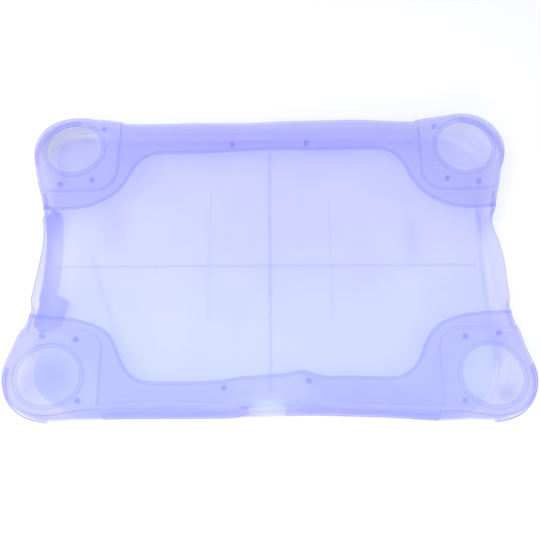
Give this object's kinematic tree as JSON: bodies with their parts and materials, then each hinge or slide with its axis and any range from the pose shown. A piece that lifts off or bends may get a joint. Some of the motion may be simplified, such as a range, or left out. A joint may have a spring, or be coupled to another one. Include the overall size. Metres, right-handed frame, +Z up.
{
  "type": "balance board sleeve",
  "caption": "Translucent silicone protective sleeve for a home balance board: thin standing sheet, rounded walls, underside flange and corner foot holes, lying empty, underside up.",
  "frame": {"origin": "centre of the bounding box's footprint, on the ground under the standing sheet", "axes": "+X along the long side, +Y to the back, +Z up; the side with the switch window is the front (-Y)"},
  "size_m": [0.512, 0.3344, 0.0349],
  "materials": {
    "silicone_sheet": "satin, translucent, 1.6 mm thick",
    "silicone_wall": "satin, translucent",
    "silicone_pod": "satin, translucent",
    "silicone_band": "satin, translucent, thicker",
    "silicone_platform": "satin, translucent",
    "silicone_rim": "satin, translucent, thicker",
    "silicone_flange": "satin, translucent",
    "silicone_pip": "satin, translucent, thick"
  },
  "bodies": {
    "root": {"standing_sheet": "silicone_sheet", "front_wall": "silicone_wall", "back_wall": "silicone_wall", "right_wall": "silicone_wall", "left_wall": "silicone_wall", "pod_shell_fr": "silicone_pod", "pod_shell_fl": "silicone_pod", "pod_shell_br": "silicone_pod", "pod_shell_bl": "silicone_pod", "bumper_band_fr": "silicone_band", "bumper_band_fl": "silicone_band", "bumper_band_br": "silicone_band", "bumper_band_bl": "silicone_band", "foot_platform_fr": "silicone_platform", "foot_platform_fl": "silicone_platform", "foot_platform_br": "silicone_platform", "foot_platform_bl": "silicone_platform", "foot_hole_rim_fr": "silicone_rim", "foot_hole_rim_fl": "silicone_rim", "foot_hole_rim_br": "silicone_rim", "foot_hole_rim_bl": "silicone_rim", "corner_gusset_fr": "silicone_flange", "corner_gusset_fl": "silicone_flange", "corner_gusset_br": "silicone_flange", "corner_gusset_bl": "silicone_flange", "front_flange": "silicone_flange", "back_flange": "silicone_flange", "front_edge_bead": "silicone_rim", "back_edge_bead": "silicone_rim", "pip_fr_a": "silicone_pip", "pip_fr_b": "silicone_pip", "pip_fr_c": "silicone_pip", "pip_fl_a": "silicone_pip", "pip_fl_b": "silicone_pip", "pip_fl_c": "silicone_pip", "pip_br_a": "silicone_pip", "pip_br_b": "silicone_pip", "pip_br_c": "silicone_pip", "pip_bl_a": "silicone_pip", "pip_bl_b": "silicone_pip", "pip_bl_c": "silicone_pip", "pip_front_left": "silicone_pip", "pip_front_right": "silicone_pip", "pip_back_left": "silicone_pip", "pip_back_right": "silicone_pip"}
  },
  "joints": []
}
